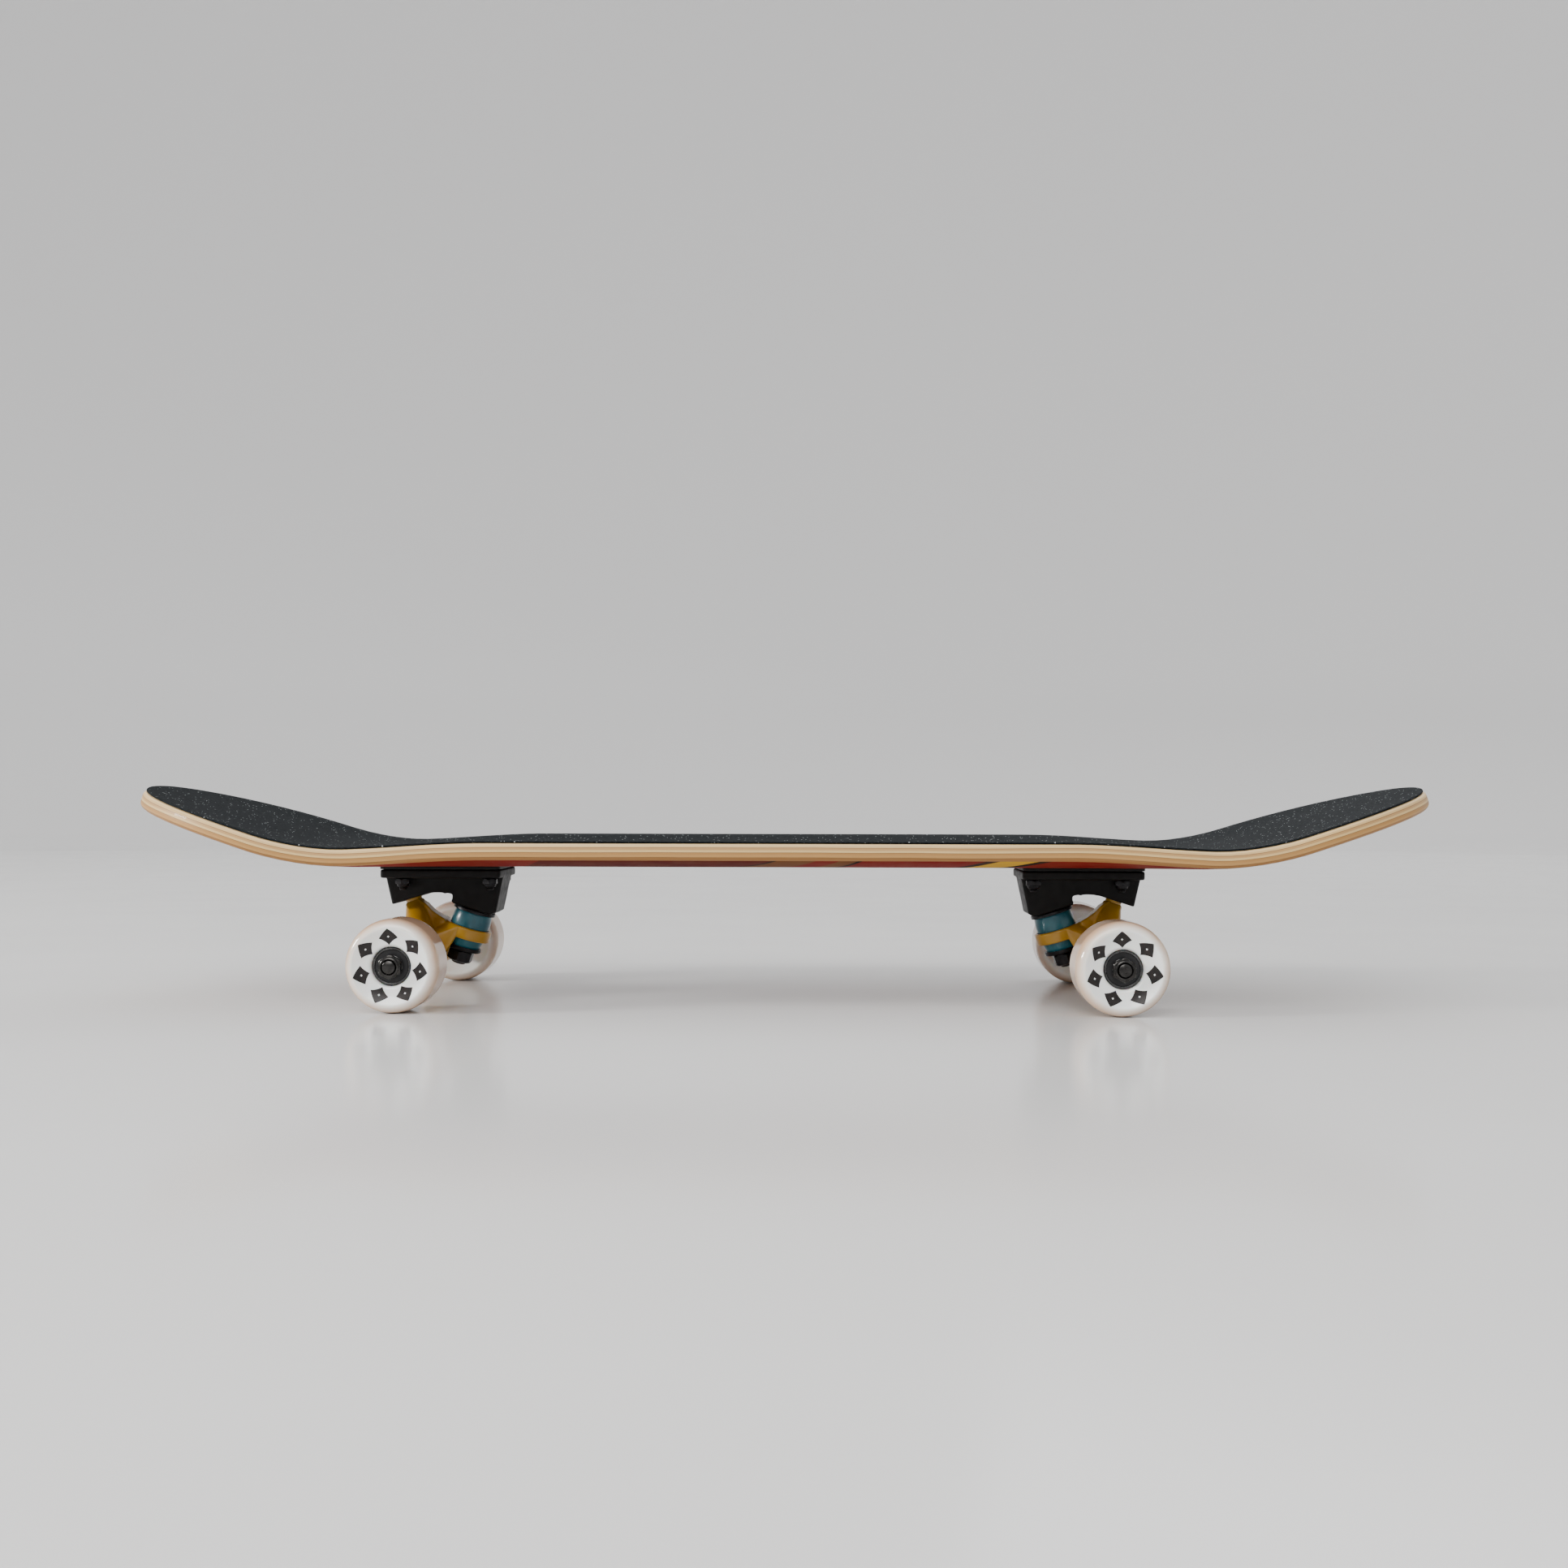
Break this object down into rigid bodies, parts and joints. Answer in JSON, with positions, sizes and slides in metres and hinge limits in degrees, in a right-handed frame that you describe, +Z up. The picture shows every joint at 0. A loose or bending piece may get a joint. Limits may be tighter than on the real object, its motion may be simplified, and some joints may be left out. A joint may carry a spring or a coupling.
{
  "type": "skateboard",
  "caption": "Street skateboard with a pressed maple deck, grit tape, two steering trucks with urethane bushings, and white urethane wheels on ball bearings.",
  "frame": {"origin": "on the ground, midway between the nose's and the tail's tips, on the board's middle plane", "axes": "+X along the board towards the nose, +Y to the rider's left when facing the nose, +Z up"},
  "size_m": [0.7888, 0.203, 0.1309],
  "materials": {
    "deck_maple": "clear-lacquered maple plies, painted underneath",
    "grip_tape": "coarse black grit with bright specks",
    "riser_plastic": "matt black moulded plastic",
    "baseplate_black": "satin black paint on cast metal",
    "black_hardware": "black oxide steel",
    "hanger_mustard": "satin mustard paint on cast metal",
    "bushing_urethane": "teal cast urethane, slightly translucent",
    "axle_steel": "dark chromed steel",
    "bearing_steel": "ground steel races with black shields",
    "wheel_urethane": "glossy white cast urethane"
  },
  "bodies": {
    "board": {"deck": "deck_maple", "grip_tape": "grip_tape", "nose_riser_pad": "riser_plastic", "nose_baseplate": "baseplate_black", "nose_kingpin": "black_hardware", "nose_kingpin_nut": "black_hardware", "nose_pivot_cup": "riser_plastic", "nose_upper_bushing": "bushing_urethane", "nose_lower_bushing": "bushing_urethane", "nose_upper_cup_washer": "black_hardware", "nose_lower_cup_washer": "black_hardware", "bolt_nose_inner_left": "black_hardware", "lock_nut_nose_inner_left": "black_hardware", "bolt_nose_inner_right": "black_hardware", "lock_nut_nose_inner_right": "black_hardware", "bolt_nose_outer_left": "black_hardware", "lock_nut_nose_outer_left": "black_hardware", "bolt_nose_outer_right": "black_hardware", "lock_nut_nose_outer_right": "black_hardware", "tail_riser_pad": "riser_plastic", "tail_baseplate": "baseplate_black", "tail_kingpin": "black_hardware", "tail_kingpin_nut": "black_hardware", "tail_pivot_cup": "riser_plastic", "tail_upper_bushing": "bushing_urethane", "tail_lower_bushing": "bushing_urethane", "tail_upper_cup_washer": "black_hardware", "tail_lower_cup_washer": "black_hardware", "bolt_tail_inner_left": "black_hardware", "lock_nut_tail_inner_left": "black_hardware", "bolt_tail_inner_right": "black_hardware", "lock_nut_tail_inner_right": "black_hardware", "bolt_tail_outer_left": "black_hardware", "lock_nut_tail_outer_left": "black_hardware", "bolt_tail_outer_right": "black_hardware", "lock_nut_tail_outer_right": "black_hardware"},
    "nose_hanger": {"nose_hanger": "hanger_mustard", "nose_axle": "axle_steel", "nose_left_axle_nut": "axle_steel", "nose_right_axle_nut": "axle_steel"},
    "tail_hanger": {"tail_hanger": "hanger_mustard", "tail_axle": "axle_steel", "tail_left_axle_nut": "axle_steel", "tail_right_axle_nut": "axle_steel"},
    "nose_left_wheel": {"nose_left_wheel": "wheel_urethane", "nose_left_outer_bearing": "bearing_steel", "nose_left_inner_bearing": "bearing_steel", "nose_left_spacer": "bearing_steel"},
    "nose_right_wheel": {"nose_right_wheel": "wheel_urethane", "nose_right_outer_bearing": "bearing_steel", "nose_right_inner_bearing": "bearing_steel", "nose_right_spacer": "bearing_steel"},
    "tail_left_wheel": {"tail_left_wheel": "wheel_urethane", "tail_left_outer_bearing": "bearing_steel", "tail_left_inner_bearing": "bearing_steel", "tail_left_spacer": "bearing_steel"},
    "tail_right_wheel": {"tail_right_wheel": "wheel_urethane", "tail_right_outer_bearing": "bearing_steel", "tail_right_inner_bearing": "bearing_steel", "tail_right_spacer": "bearing_steel"}
  },
  "joints": [
    {"name": "nose_steer", "type": "hinge", "parent": "board", "child": "nose_hanger", "pos_m": [0.1734, 0, 0.0392], "axis": [-0.8045, 0, -0.594], "range_deg": [-12, 12], "stiffness_Nm_per_rad": 60, "deforming": ["nose_upper_bushing", "nose_lower_bushing"]},
    {"name": "tail_steer", "type": "hinge", "parent": "board", "child": "tail_hanger", "pos_m": [-0.1962, 0, 0.0392], "axis": [0.8045, 0, -0.594], "range_deg": [-12, 12], "stiffness_Nm_per_rad": 60, "deforming": ["tail_upper_bushing", "tail_lower_bushing"]},
    {"name": "nose_left_wheel_spin", "type": "hinge", "parent": "nose_hanger", "child": "nose_left_wheel", "pos_m": [0.1961, 0.083, 0.027], "axis": [0, 1, 0], "continuous": true},
    {"name": "nose_right_wheel_spin", "type": "hinge", "parent": "nose_hanger", "child": "nose_right_wheel", "pos_m": [0.1961, -0.083, 0.027], "axis": [0, 1, 0], "continuous": true},
    {"name": "tail_left_wheel_spin", "type": "hinge", "parent": "tail_hanger", "child": "tail_left_wheel", "pos_m": [-0.2189, 0.083, 0.027], "axis": [0, 1, 0], "continuous": true},
    {"name": "tail_right_wheel_spin", "type": "hinge", "parent": "tail_hanger", "child": "tail_right_wheel", "pos_m": [-0.2189, -0.083, 0.027], "axis": [0, 1, 0], "continuous": true}
  ]
}
